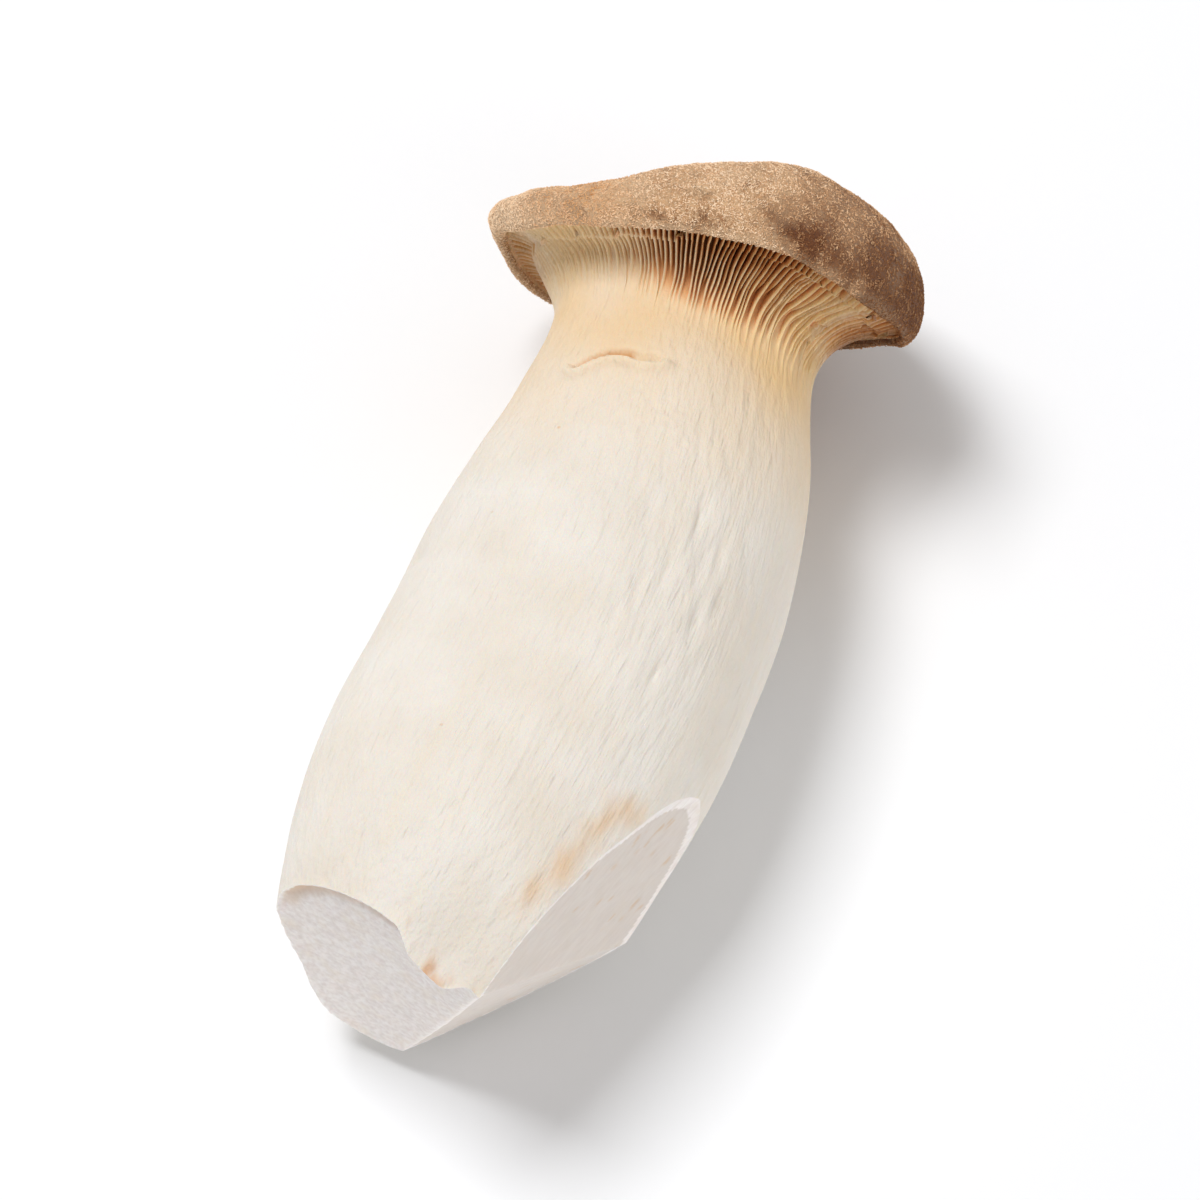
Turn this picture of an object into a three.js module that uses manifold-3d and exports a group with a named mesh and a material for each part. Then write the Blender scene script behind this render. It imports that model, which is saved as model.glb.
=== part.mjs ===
// A king oyster mushroom, picked and trimmed, lying on its side.
// It grew as one piece, so it is one closed solid: a stout curved stem with a knife-cut foot, gills that
// run down the neck, and a thick cap with a rolled edge.
// Millimetres, +Z up. The mushroom lies along Y, foot at -Y and cap at +Y, and rests on the plane z = 0
// on its belly and on the lower edge of its cap. The origin is the bottom centre of its bounding box.

import * as THREE from "three";
import { mergeVertices } from "three/addons/utils/BufferGeometryUtils.js";
import Module from "manifold-3d";

const wasm = await Module();
wasm.setup();

// Driving dimensions.
// While it is shaped, Y runs up the straight lower stem from the foot and Z is the upper side as it lies.
const BEND_START = 40; // distance up the stem where it starts to curve
const BEND_RADIUS = 232;
const BEND_ANGLE = THREE.MathUtils.degToRad(20);
const BEND_TOWARDS = new THREE.Vector3(-0.925, 0, 0.38); // to the left and slightly up
const CAP_AT = 111; // distance along the stem's centreline to the plane of the cap's edge
const GILLS = 84;
const GILL_DEPTH = 2.3;
const GILL_ROOT = 0.42; // share of the space between two gills that a gill's root takes up
const LEAN = THREE.MathUtils.degToRad(0.35); // how far the cap end dips until it touches the surface
const REST_FLAT_DEPTH = 0.55; // flesh pressed flat where the weight rests

// How finely the skin is divided.
const STEM_RINGS = 14;
const GILL_RINGS = 13;
const CAP_RINGS = 12;

// The stem's radius at distances along its centreline. What lies below 0 is cut away later.
const STEM_PROFILE = [
  [-20, 9],
  [-13, 16],
  [0, 21.7],
  [14, 24.8],
  [28, 25.6],
  [45, 26],
  [60, 25.7],
  [73, 24.2],
  [84, 22.3],
  [93, 20.3],
];

// The gilled flare, as radius and height over the plane of the cap's edge, from the neck outwards.
const FLARE_PROFILE = [
  [20.3, -18],
  [19.2, -12.5],
  [18.9, -8.5],
  [19.5, -5.5],
  [21, -2.6],
  [23.6, -0.3],
  [26.4, 1.1],
  [28.9, 1.6],
];

// The rolled edge and the top of the cap, from the end of the gills to the centre of the cap.
const CAP_PROFILE = [
  [28.9, 1.6],
  [29.6, 0.3],
  [31, 1.4],
  [31.7, 4.2],
  [31, 8],
  [28.6, 11.4],
  [24.5, 13.4],
  [18, 14.2],
  [10, 13.8],
  [0, 13.2],
];

// Values at twelve equal steps round the cap, from the right side over the upper side.
const EDGE_LIFT = [-3.2, -6, -5.2, -5.3, -5, -1.5, 4.2, 3.6, 3.2, 3.5, 3.8, 1.8];
const EDGE_REACH = [1.045, 1.03, 0.99, 0.97, 0.98, 0.98, 0.98, 0.98, 0.97, 0.96, 0.98, 1.02];
const CAP_THICKNESS = [1.15, 1.32, 1.28, 1.05, 0.71, 0.6, 0.53, 0.62, 0.8, 0.98, 1.08, 1.12];
const GILL_RUN = [16, 18, 16, 13, 10, 8, 7, 8, 10, 13, 15, 16]; // how far down the neck the gills run

// The knife strokes that trim the foot. The first is curved like the inside of a pipe, the others are
// flat. Each has a point on it and the direction it faces.
const CURVED_CUT = { at: [-8.5, -2, 19], facing: [-0.25, -0.96, 0.02], along: [0.26, -0.05, 0.965], radius: 42 };
const FLAT_CUTS = [
  { at: [17.6, 9.3, 11.8], facing: [0.96, -0.25, 0.14] },
  { at: [10.2, 8.9, -21.7], facing: [0.757, -0.579, -0.301] },
  { at: [9, -7.4, 16], facing: [0.06, -0.995, 0.05] },
];
const CUTTER_SIZE = 400;

const UP_THE_STEM = new THREE.Vector3(0, 1, 0);
const BEND_AXIS = new THREE.Vector3().crossVectors(UP_THE_STEM, BEND_TOWARDS).normalize();

// A smooth closed curve through values at equal steps round the cap, read at an angle.
function roundTheCap(values, angle) {
  const count = values.length;
  const place = (angle / (2 * Math.PI)) * count;
  const index = Math.floor(place);
  const [before, here, next, after] = [-1, 0, 1, 2].map((step) => values[(index + step + count) % count]);
  const t = place - index;
  const slopeHere = (next - before) / 2;
  const slopeNext = (after - here) / 2;
  const rise = next - here;
  const bow = 3 * rise - 2 * slopeHere - slopeNext;
  const twist = slopeHere + slopeNext - 2 * rise;
  return here + t * (slopeHere + t * (bow + t * twist));
}

// The point at a distance along the centreline, and how far the stem has turned there.
function centreline(distance) {
  const bent = THREE.MathUtils.clamp((distance - BEND_START) / BEND_RADIUS, 0, BEND_ANGLE);
  const turn = new THREE.Quaternion().setFromAxisAngle(BEND_AXIS, bent);
  const straight = Math.min(distance, BEND_START);
  const beyond = Math.max(distance - BEND_START - BEND_RADIUS * BEND_ANGLE, 0);
  const point = new THREE.Vector3(0, straight + BEND_RADIUS * Math.sin(bent), 0)
    .addScaledVector(BEND_TOWARDS, BEND_RADIUS * (1 - Math.cos(bent)))
    .addScaledVector(UP_THE_STEM.clone().applyQuaternion(turn), beyond);
  return { point, turn };
}

function pointAround(angle, radius, distance) {
  const { point, turn } = centreline(distance);
  const outward = new THREE.Vector3(Math.cos(angle), 0, Math.sin(angle)).applyQuaternion(turn);
  return point.addScaledVector(outward, radius);
}

// The stem isn't quite round, and it swells unevenly.
function stemSwell(angle, distance) {
  const oval = 0.016 * Math.cos(2 * angle + 0.8);
  const lobes = 0.011 * Math.cos(3 * angle - distance / 17);
  const waves = 0.008 * Math.sin(distance / 6.5 + 2 * Math.cos(angle));
  return 1 + oval + lobes + waves;
}

// How much the cap's own uneven shape counts: 0 at the neck, 1 from the end of the gills outwards.
function capShare(radius, height) {
  return height > 0 ? 1 : THREE.MathUtils.smoothstep(radius, 19.5, 28.5);
}

function capPoint(angle, radius, height) {
  const share = capShare(radius, height);
  const outward = THREE.MathUtils.smoothstep(radius, 3, 26);
  const reach = 1 + share * outward * (roundTheCap(EDGE_REACH, angle) - 1);
  const lift = share * outward * roundTheCap(EDGE_LIFT, angle);
  const swell = 1 + (1 - share) * (stemSwell(angle, CAP_AT + height) - 1);
  const thicker = 1 + outward * (roundTheCap(CAP_THICKNESS, angle) - 1);
  const level = height > 2 ? 2 + (height - 2) * thicker : height;
  return pointAround(angle, radius * reach * swell, CAP_AT + level + lift);
}

function curveThrough(profile) {
  return new THREE.SplineCurve(profile.map(([radius, height]) => new THREE.Vector2(radius, height)));
}

function stemRing(share) {
  const { x: distance, y: radius } = curveThrough(STEM_PROFILE).getPoint(share);
  return Array.from({ length: GILLS }, (_, i) => {
    const angle = (i / GILLS) * 2 * Math.PI;
    return pointAround(angle, radius * stemSwell(angle, distance), distance);
  });
}

// Each gill has its crest on the flare's surface, and the valleys beside it are sunk into the flesh.
// The valleys run out where the gills end, down the neck and at the rolled edge.
function gillRing(share) {
  const curve = curveThrough(FLARE_PROFILE);
  const { x: radius, y: height } = curve.getPoint(share);
  const along = curve.getTangent(share);
  const deepening = THREE.MathUtils.smoothstep(share, 0, 0.75);
  const closing = THREE.MathUtils.smoothstep(1 - share, 0, 0.12);
  const ring = [];
  for (let gill = 0; gill < GILLS; gill++) {
    for (const part of [0, GILL_ROOT / 2, 1 - GILL_ROOT / 2]) {
      const angle = ((gill + part) / GILLS) * 2 * Math.PI;
      const begun = THREE.MathUtils.smoothstep(height, -roundTheCap(GILL_RUN, angle), 0);
      const sunk = part === 0 ? 0 : GILL_DEPTH * deepening * closing * begun;
      ring.push(capPoint(angle, radius - along.y * sunk, height + along.x * sunk));
    }
  }
  return ring;
}

function capRing(share) {
  const { x: radius, y: height } = curveThrough(CAP_PROFILE).getPoint(share);
  return Array.from({ length: GILLS }, (_, i) => capPoint((i / GILLS) * 2 * Math.PI, radius, height));
}

// The triangles between two neighbouring rings. One ring may have a whole number of times as many points.
function bandBetween(low, high) {
  const cells = Math.min(low.count, high.count);
  const steps = Math.max(low.count, high.count) / cells;
  const half = Math.ceil(steps / 2);
  const pointOf = (ring, cell, k) => ring.start + ((cell * (ring.count / cells) + k) % ring.count);
  const triangles = [];
  for (let cell = 0; cell < cells; cell++) {
    const onLow = (k) => pointOf(low, cell, k);
    const onHigh = (k) => pointOf(high, cell, k);
    for (let k = 0; k < steps; k++) {
      const across = k < half ? 0 : 1;
      if (low.count >= high.count) triangles.push(onLow(k), onHigh(across), onLow(k + 1));
      else triangles.push(onLow(across), onHigh(k), onHigh(k + 1));
    }
    if (low.count >= high.count) triangles.push(onLow(half), onHigh(0), onHigh(1));
    else triangles.push(onLow(0), onHigh(half), onLow(1));
  }
  return triangles;
}

function fanTo(pole, ring, turned) {
  const triangles = [];
  for (let i = 0; i < ring.count; i++) {
    const here = ring.start + i;
    const next = ring.start + ((i + 1) % ring.count);
    triangles.push(pole, turned ? next : here, turned ? here : next);
  }
  return triangles;
}

// Rings of points and a pole at each end become one closed skin.
function skinOf(rings, firstPole, lastPole) {
  const points = [firstPole];
  const spans = rings.map((ring) => {
    const span = { start: points.length, count: ring.length };
    points.push(...ring);
    return span;
  });
  points.push(lastPole);
  const triangles = fanTo(0, spans[0], false);
  for (let i = 1; i < spans.length; i++) triangles.push(...bandBetween(spans[i - 1], spans[i]));
  triangles.push(...fanTo(points.length - 1, spans.at(-1), true));
  return new THREE.BufferGeometry().setFromPoints(points).setIndex(triangles);
}

function solidOf(geometry) {
  const bare = geometry.clone();
  bare.deleteAttribute("normal");
  bare.deleteAttribute("uv");
  const merged = mergeVertices(bare, 1e-4);
  const mesh = new wasm.Mesh({
    numProp: 3,
    vertProperties: new Float32Array(merged.attributes.position.array),
    triVerts: new Uint32Array(merged.index.array),
  });
  return new wasm.Manifold(mesh);
}

function geometryOf(solid) {
  const { vertProperties, triVerts } = solid.getMesh();
  const geometry = new THREE.BufferGeometry();
  geometry.setAttribute("position", new THREE.BufferAttribute(new Float32Array(vertProperties), 3));
  geometry.setIndex(new THREE.BufferAttribute(new Uint32Array(triVerts), 1));
  return geometry;
}

// Everything on the outer side of a flat stroke, as a large block to cut with.
function blockBeyond({ at, facing }) {
  const direction = new THREE.Vector3(...facing).normalize();
  const block = new THREE.BoxGeometry(CUTTER_SIZE, CUTTER_SIZE, CUTTER_SIZE);
  block.translate(0, 0, CUTTER_SIZE / 2);
  block.applyQuaternion(new THREE.Quaternion().setFromUnitVectors(new THREE.Vector3(0, 0, 1), direction));
  block.translate(...at);
  return solidOf(block);
}

// A round bar whose side touches the point of a curved stroke, to cut with.
function barBeyond({ at, facing, along, radius }) {
  const lengthwise = new THREE.Vector3(...along).normalize();
  const direction = new THREE.Vector3(...facing).projectOnPlane(lengthwise).normalize();
  const middle = new THREE.Vector3(...at).addScaledVector(direction, radius);
  const bar = new THREE.CylinderGeometry(radius, radius, CUTTER_SIZE, 96);
  bar.applyQuaternion(new THREE.Quaternion().setFromUnitVectors(UP_THE_STEM, lengthwise));
  bar.translate(middle.x, middle.y, middle.z);
  return solidOf(bar);
}

function grownBody() {
  const ringsOf = (count, total, makeRing) => Array.from({ length: count }, (_, i) => makeRing((i + 1) / total));
  const rings = [
    ...ringsOf(STEM_RINGS, STEM_RINGS, stemRing),
    ...ringsOf(GILL_RINGS, GILL_RINGS, gillRing),
    ...ringsOf(CAP_RINGS, CAP_RINGS + 1, capRing),
  ];
  const foot = centreline(STEM_PROFILE[0][0]).point;
  const crown = capPoint(0, 0, CAP_PROFILE.at(-1)[1]);
  return solidOf(skinOf(rings, foot, crown));
}

function trimmedBody() {
  const scooped = grownBody().subtract(barBeyond(CURVED_CUT));
  return FLAT_CUTS.reduce((body, cut) => body.subtract(blockBeyond(cut)), scooped);
}

// The trimmed mushroom is laid down, pressed flat where it rests, and moved onto the origin.
function lyingMushroom() {
  const laid = geometryOf(trimmedBody()).rotateX(-LEAN);
  laid.computeBoundingBox();
  const surface = laid.boundingBox.min.z + REST_FLAT_DEPTH;
  const belowSurface = blockBeyond({ at: [0, 0, surface], facing: [0, 0, -1] });
  const rested = geometryOf(solidOf(laid).subtract(belowSurface));
  rested.computeBoundingBox();
  const middle = rested.boundingBox.getCenter(new THREE.Vector3());
  return rested.translate(-middle.x, -middle.y, -surface);
}

function fleshMaterial() {
  return new THREE.MeshStandardMaterial({ color: "#ece2d2", roughness: 0.75, metalness: 0 });
}

const mushroom = new THREE.Mesh(lyingMushroom(), fleshMaterial());
mushroom.name = "king_oyster_mushroom";

const part = new THREE.Group();
part.add(mushroom);

export default part;
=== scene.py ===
import math

import bpy
import numpy as np
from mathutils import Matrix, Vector, kdtree, noise


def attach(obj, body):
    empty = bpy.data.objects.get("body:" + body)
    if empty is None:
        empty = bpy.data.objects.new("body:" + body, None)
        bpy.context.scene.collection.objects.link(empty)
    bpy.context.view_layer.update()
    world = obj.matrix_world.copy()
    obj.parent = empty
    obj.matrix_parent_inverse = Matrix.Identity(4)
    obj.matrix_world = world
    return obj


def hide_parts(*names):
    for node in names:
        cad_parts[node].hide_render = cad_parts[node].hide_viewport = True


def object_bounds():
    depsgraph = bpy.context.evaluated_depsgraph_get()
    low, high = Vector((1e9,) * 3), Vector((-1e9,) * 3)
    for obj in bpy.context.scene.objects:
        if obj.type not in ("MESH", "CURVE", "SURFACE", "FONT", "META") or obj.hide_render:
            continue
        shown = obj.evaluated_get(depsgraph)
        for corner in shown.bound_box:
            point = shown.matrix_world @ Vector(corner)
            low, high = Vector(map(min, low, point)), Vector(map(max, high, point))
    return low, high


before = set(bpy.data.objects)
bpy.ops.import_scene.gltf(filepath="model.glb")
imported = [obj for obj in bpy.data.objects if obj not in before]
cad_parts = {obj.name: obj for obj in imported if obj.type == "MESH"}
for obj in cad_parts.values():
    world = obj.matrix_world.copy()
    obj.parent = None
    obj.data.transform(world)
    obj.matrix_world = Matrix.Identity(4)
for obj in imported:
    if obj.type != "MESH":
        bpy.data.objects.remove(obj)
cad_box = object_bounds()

bl_info = {
    "name": "King oyster mushroom",
    "version": (1, 0, 0),
    "blender": (4, 5, 0),
    "location": "3D View > Sidebar > Mushroom",
    "description": "Skin, gills, trimmed foot and felted cap of a king oyster mushroom",
    "category": "Add Mesh",
}

NODE = "king_oyster_mushroom"
BODY = "root"
MM = 0.001
TURN = 2 * math.pi

# The mushroom's growing shape, in millimetres: Y runs up the straight lower stem, Z is the upper side.
BEND_START = 40.0
BEND_RADIUS = 232.0
BEND_ANGLE = math.radians(20)
BEND_TOWARDS = np.array([-0.925, 0.0, 0.38])
UP = np.array([0.0, 1.0, 0.0])
BEND_AXIS = np.cross(UP, BEND_TOWARDS)
BEND_AXIS /= np.linalg.norm(BEND_AXIS)
CAP_AT = 111.0
LEAN = math.radians(0.35)
LAID_DOWN_SHIFT = np.array([7.8234, -62.4505, 25.7312])

# Distance along the centreline and radius there.
STEM_PROFILE = [
    (-20, 9), (-13, 16), (0, 21.7), (14, 24.8), (28, 25.6),
    (45, 26), (60, 25.7), (73, 24.2), (84, 22.3), (93, 20.3),
]
# Radius and height over the plane of the cap's edge.
FLARE_PROFILE = [
    (20.3, -18), (19.2, -12.5), (18.9, -8.5), (19.5, -5.5),
    (21, -2.6), (23.6, -0.3), (26.4, 1.1), (28.9, 1.6),
]
# On the side that lies uppermost the gills run out to the edge more like a trumpet.
TRUMPET_PROFILE = [
    (20.3, -18), (19.5, -13.5), (19.7, -10.8), (20.6, -8.6),
    (22.2, -6.2), (24.3, -3), (26.6, 0), (28.9, 1.6),
]
CAP_PROFILE = [
    (28.9, 1.6), (29.6, 0.3), (31, 1.4), (31.7, 4.2), (31, 8),
    (28.6, 11.4), (24.5, 13.4), (18, 14.2), (10, 13.8), (0, 13.2),
]
# Values at twelve equal steps round the cap, from the right side over the upper side.
EDGE_LIFT = [-3.2, -6, -5.2, -5.3, -5, -1.5, 4.2, 3.6, 3.2, 3.5, 3.8, 1.8]
EDGE_REACH = [1.045, 1.03, 0.99, 0.97, 0.98, 0.98, 0.98, 0.98, 0.97, 0.96, 0.98, 1.02]
CAP_THICKNESS = [1.15, 1.32, 1.28, 1.05, 0.71, 0.6, 0.53, 0.62, 0.8, 0.98, 1.08, 1.12]
GILL_RUN = [17, 20, 20, 18, 12, 9, 7, 8, 10, 13, 15, 16]
TRUMPET_SHARE = [0.5, 1, 1, 0.9, 0.4, 0.1, 0.1, 0.2, 0.3, 0.3, 0.2, 0.15]
GILL_STRENGTH = [1, 0.9, 1.1, 1, 0.55, 0.5, 0.8, 0.9, 0.9, 0.9, 0.9, 1]
# Painted shade: how brown the valleys between gills are painted, and how brown the whole underside of the cap
# is painted.
GILL_SHADE = [0.9, 0.5, 1, 1, 0.35, 0.4, 0.9, 1, 0.9, 0.9, 0.9, 1]
UNDERSIDE_SHADE = [0.75, 0, 0, 0, 0, 0, 0.1, 0.2, 0.2, 0.2, 0.4, 0.8]

# How finely the skin is divided.
STEM_COLUMNS = 250
STEM_ROWS = np.concatenate([np.arange(-19, 12, 1.2), np.arange(12, 76, 1.25), np.arange(76, 92.6, 0.5)])
GILL_ROWS = 34
CAP_ROWS = 58
GILL_STEPS = (0.0, 0.13, 0.36, 0.64, 0.87)

SKIN, FELT, CUT = 0, 1, 2
FELT_PIECES = 4
CREASE_ANGLE = math.radians(50)
# Marks on the stem are laid out on a cylinder of this radius, in millimetres.
MIDDLE_RADIUS = 25.0
PROFILE_SAMPLES = 4001
# A small step, in radians or in share of a profile, that shows which way a surface runs.
NUDGE = 2e-3
# The stage, in metres and watts.
FLOOR_DROP = 0.0001
LIGHT_DISTANCE = 1.1
ROOM_TONE = (1.0, 0.965, 0.935, 1.0)
ROOM_STRENGTH = 0.44


# ---- shape of the mushroom


def smoothstep(value, low, high):
    t = np.clip((np.asarray(value, float) - low) / (high - low), 0, 1)
    return t * t * (3 - 2 * t)


def hump(*spans):
    """1 in the middle of spans (value, middle, width), fading to 0 beyond their widths."""
    return np.exp(-sum(((value - middle) / width) ** 2 for value, middle, width in spans))


def smooth_between(before, here, after, beyond, t):
    """A smooth curve from here to after, read t of the way, that heeds its neighbours too."""
    slope_here = (after - before) / 2
    slope_after = (beyond - here) / 2
    rise = after - here
    bow = 3 * rise - 2 * slope_here - slope_after
    twist = slope_here + slope_after - 2 * rise
    return here + t * (slope_here + t * (bow + t * twist))


def round_the_cap(values, angle):
    """A smooth closed curve through values at equal steps round the cap, read at an angle."""
    place = np.mod(angle, TURN) / TURN * len(values)
    index = np.floor(place).astype(int)
    around = (np.take(values, index + step, mode="wrap") for step in (-1, 0, 1, 2))
    return smooth_between(*around, place - index)


def along_profile(profile, share):
    """The point of a smooth curve through a profile at a share of its points, 0 to 1."""
    points = np.array(profile, float)
    last = len(points) - 1
    place = np.clip(np.asarray(share, float), 0, 1) * last
    index = np.minimum(np.floor(place).astype(int), last)
    around = (points[np.clip(index + step, 0, last)] for step in (-1, 0, 1, 2))
    return smooth_between(*around, (place - index)[..., None])


def even_shares(profile, count, finer_start=0.0):
    """Shares of a profile that are evenly spaced along it, a little closer together at its start."""
    fine = np.linspace(0, 1, PROFILE_SAMPLES)
    points = along_profile(profile, fine)
    steps = np.linalg.norm(np.diff(points, axis=0), axis=1)
    length = np.concatenate([[0], np.cumsum(steps)])
    even = np.linspace(0, 1, count + 1)
    even = even * (1 - finer_start) + finer_start * even ** 2
    return np.interp(even * length[-1], length, fine)


def turned(vectors, bent):
    """Vectors turned by the stem's bend."""
    cos, sin = np.cos(bent)[..., None], np.sin(bent)[..., None]
    onto_axis = (vectors @ BEND_AXIS)[..., None] * BEND_AXIS
    return vectors * cos + np.cross(BEND_AXIS, vectors) * sin + onto_axis * (1 - cos)


def centreline(distance):
    """The points at distances along the stem's centreline, and how far the stem has turned there."""
    distance = np.asarray(distance, float)
    bent = np.clip((distance - BEND_START) / BEND_RADIUS, 0, BEND_ANGLE)
    beyond = np.maximum(distance - BEND_START - BEND_RADIUS * BEND_ANGLE, 0)
    up = np.broadcast_to(UP, distance.shape + (3,))
    points = up * (np.minimum(distance, BEND_START) + BEND_RADIUS * np.sin(bent))[..., None]
    points = points + BEND_TOWARDS * (BEND_RADIUS * (1 - np.cos(bent)))[..., None]
    return points + turned(up, bent) * beyond[..., None], bent


def point_around(angle, radius, distance):
    angle, radius, distance = np.broadcast_arrays(*(np.asarray(v, float) for v in (angle, radius, distance)))
    point, bent = centreline(distance)
    outward = np.stack([np.cos(angle), np.zeros_like(angle), np.sin(angle)], axis=-1)
    return point + turned(outward, bent) * radius[..., None]


def around_stem(points):
    """The angle, radius and distance along the centreline of points in the growing shape."""
    distance = points[:, 1].copy()
    # Each round takes out most of what the guess is off by.
    for _ in range(24):
        middle, bent = centreline(distance)
        up = turned(np.broadcast_to(UP, points.shape), bent)
        distance += 0.9 * ((points - middle) * up).sum(axis=1)
    middle, bent = centreline(distance)
    straight = turned(points - middle, -bent)
    return np.arctan2(straight[:, 2], straight[:, 0]), np.hypot(straight[:, 0], straight[:, 2]), distance


def stem_swell(angle, distance):
    oval = 0.016 * np.cos(2 * angle + 0.8)
    lobes = 0.011 * np.cos(3 * angle - distance / 17)
    waves = 0.008 * np.sin(distance / 6.5 + 2 * np.cos(angle))
    return 1 + oval + lobes + waves


def cap_point(angle, radius, height):
    share = np.where(height > 0, 1.0, smoothstep(radius, 19.5, 28.5))
    outward = smoothstep(radius, 3, 26)
    reach = 1 + share * outward * (round_the_cap(EDGE_REACH, angle) - 1)
    lift = share * outward * round_the_cap(EDGE_LIFT, angle)
    swell = 1 + (1 - share) * (stem_swell(angle, CAP_AT + height) - 1)
    thicker = 1 + outward * (round_the_cap(CAP_THICKNESS, angle) - 1)
    level = np.where(height > 2, 2 + (height - 2) * thicker, height)
    return point_around(angle, radius * reach * swell, CAP_AT + level + lift)


def laid_down(points):
    """Points of the growing shape where they lie in the frame, in metres."""
    cos, sin = math.cos(LEAN), math.sin(LEAN)
    x, y, z = np.asarray(points, float).T
    return (np.stack([x, y * cos + z * sin, z * cos - y * sin], axis=-1) + LAID_DOWN_SHIFT) * MM


def stood_up(points):
    """The reverse of laid_down."""
    cos, sin = math.cos(LEAN), math.sin(LEAN)
    x, y, z = (np.asarray(points, float) / MM - LAID_DOWN_SHIFT).T
    return np.stack([x, y * cos - z * sin, z * cos + y * sin], axis=-1)


def wavy(points, grain):
    """Smooth noise from -1 to 1 at points, with bumps about as large as grain in each direction."""
    scaled = np.asarray(points, float) / np.asarray(grain, float)
    return np.array([noise.noise(place) for place in scaled.tolist()])


def straightened(angle, radius, distance):
    return np.stack([radius * np.cos(angle), distance, radius * np.sin(angle)], axis=-1)


# ---- gills


def gill_plan(count):
    """For each gill: where it starts on the flare, how it strays, and how far it leans to a neighbour."""
    random = np.random.default_rng(41)
    starts = np.zeros(count)
    starts[1::2] = random.uniform(0.05, 0.6, count // 2)
    merges = np.zeros(count)
    gill = 0
    while gill < count - 4:
        if random.random() < 0.16:
            merges[gill], merges[gill + 2] = 0.85, -0.85
            starts[gill + 1] = max(starts[gill + 1], 0.55)
            gill += 6
        else:
            gill += 2
    return starts, merges, random.uniform(0.75, 1.0, count)


def blade(step, sharp):
    """How high a gill stands a step beside it: thin as a blade where sharp is 1, round where it is 0."""
    thin = np.interp(step, (0, 0.13, 0.36), (1, 0.85, 0))
    return thin * sharp + np.cos(step * math.pi / 2) ** 2 * (1 - sharp)


def flare_at(share, angle):
    """Radius and height of the gilled flare at angles round the cap."""
    trumpet = np.clip(round_the_cap(TRUMPET_SHARE, angle), 0, 1)
    bowl_point, trumpet_point = along_profile(FLARE_PROFILE, share), along_profile(TRUMPET_PROFILE, share)
    return bowl_point[:, None] * (1 - trumpet) + trumpet_point[:, None] * trumpet


def gill_ring(share, count, depth):
    """One ring of the gilled flare: its points, and how much painted shade each of them has."""
    starts, merges, heights = gill_plan(count)
    gill = np.repeat(np.arange(count), len(GILL_STEPS))
    step = np.tile(GILL_STEPS, count)
    after = (gill + 1) % count
    # Each gill strays a little by itself, and on the right side whole groups wave together.
    strays = np.array([0.2 * noise.noise((k * 3.7, share * 3.2, 1.3)) for k in range(count)])
    groups = np.array([noise.noise((k * 0.22, share * 3.5, 7.1)) for k in range(count)])
    to_right = hump((np.arange(count) / count * 360, 24, 22))
    strays += groups * (0.5 + 1.6 * to_right)
    settled = smoothstep(share, 0, 0.12) * smoothstep(1 - share, 0, 0.08)
    lean = merges * (1 - smoothstep(share, 0.25, 0.62))
    shift = (strays + lean) * settled
    angle = (gill + step + shift[gill] * (1 - step) + shift[after] * step) / count * TURN

    standing = smoothstep(share, starts - 0.12, starts + 0.1) * heights
    standing[0::2] = 1
    sharp = smoothstep(share, 0, 0.3)
    near = blade(step, sharp) * standing[gill]
    far = blade(1 - step, sharp) * standing[after]
    crest = np.maximum(near, far)
    # Cracks across some gills of the right side.
    cracks = np.array([noise.noise((k // 2 * 5.1, share * 8, 3.7)) for k in range(count)])
    crest *= 1 - 0.8 * (smoothstep(cracks, 0.35, 0.5) * to_right)[gill] * smoothstep(share, 0.3, 0.5)

    radius, height = flare_at(share, angle)
    points = cap_point(angle, radius, height)
    further, nearer = (cap_point(angle, *flare_at(share + step, angle)) for step in (NUDGE, -NUDGE))
    outwards = further - nearer
    onwards = cap_point(angle + NUDGE, radius, height) - cap_point(angle - NUDGE, radius, height)
    inward = np.cross(onwards, outwards)
    inward /= np.linalg.norm(inward, axis=1)[:, None]
    deepening = smoothstep(share, -0.15, 0.6)
    closing = smoothstep(1 - share, 0, 0.05)
    run = round_the_cap(GILL_RUN, angle)
    begun = smoothstep(height, -run - 1, 0)
    sunk = depth * deepening * closing * begun * round_the_cap(GILL_STRENGTH, angle) * (1 - crest)
    # Painted shade: brown in the valleys between gills, deeper valleys browner.
    painted_shade = sunk / depth * np.clip(round_the_cap(GILL_SHADE, angle), 0, 1)
    # Painted shadow under the cap's rim on the upper side.
    middle = hump((np.degrees(angle), 72, 22))
    painted_shade += 0.3 * middle * smoothstep(share, 0.6, 0.85) * smoothstep(1 - share, 0, 0.04)
    # Painted shade over the underside of the cap, most of all on its right.
    painted_shade += np.clip(round_the_cap(UNDERSIDE_SHADE, angle), 0, 1) * smoothstep(share, 0.35, 0.7)
    return points + inward * sunk[:, None], painted_shade


# ---- pieces and their attributes


def only_selected(piece):
    """Deselects everything and makes one object active."""
    if bpy.context.object and bpy.context.object.mode != "OBJECT":
        bpy.ops.object.mode_set(mode="OBJECT")
    bpy.ops.object.select_all(action="DESELECT")
    piece.select_set(True)
    bpy.context.view_layer.objects.active = piece


def new_piece(name, points, faces):
    mesh = bpy.data.meshes.new(name)
    mesh.from_pydata(points.tolist(), [], faces)
    mesh.update()
    piece = bpy.data.objects.new(name, mesh)
    bpy.context.scene.collection.objects.link(piece)
    return piece


def read(items, name, width=1, kind=float):
    """One value, or a row of width values, of each item of a mesh."""
    values = np.empty(len(items) * width, kind)
    items.foreach_get(name, values)
    return values.reshape(-1, width) if width > 1 else values


def coordinates(piece):
    return read(piece.data.vertices, "co", 3)


def set_coordinates(piece, places):
    piece.data.vertices.foreach_set("co", np.ascontiguousarray(places, float).ravel())
    piece.data.update()


def vertex_normals(piece):
    return read(piece.data.vertex_normals, "vector", 3)


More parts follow.
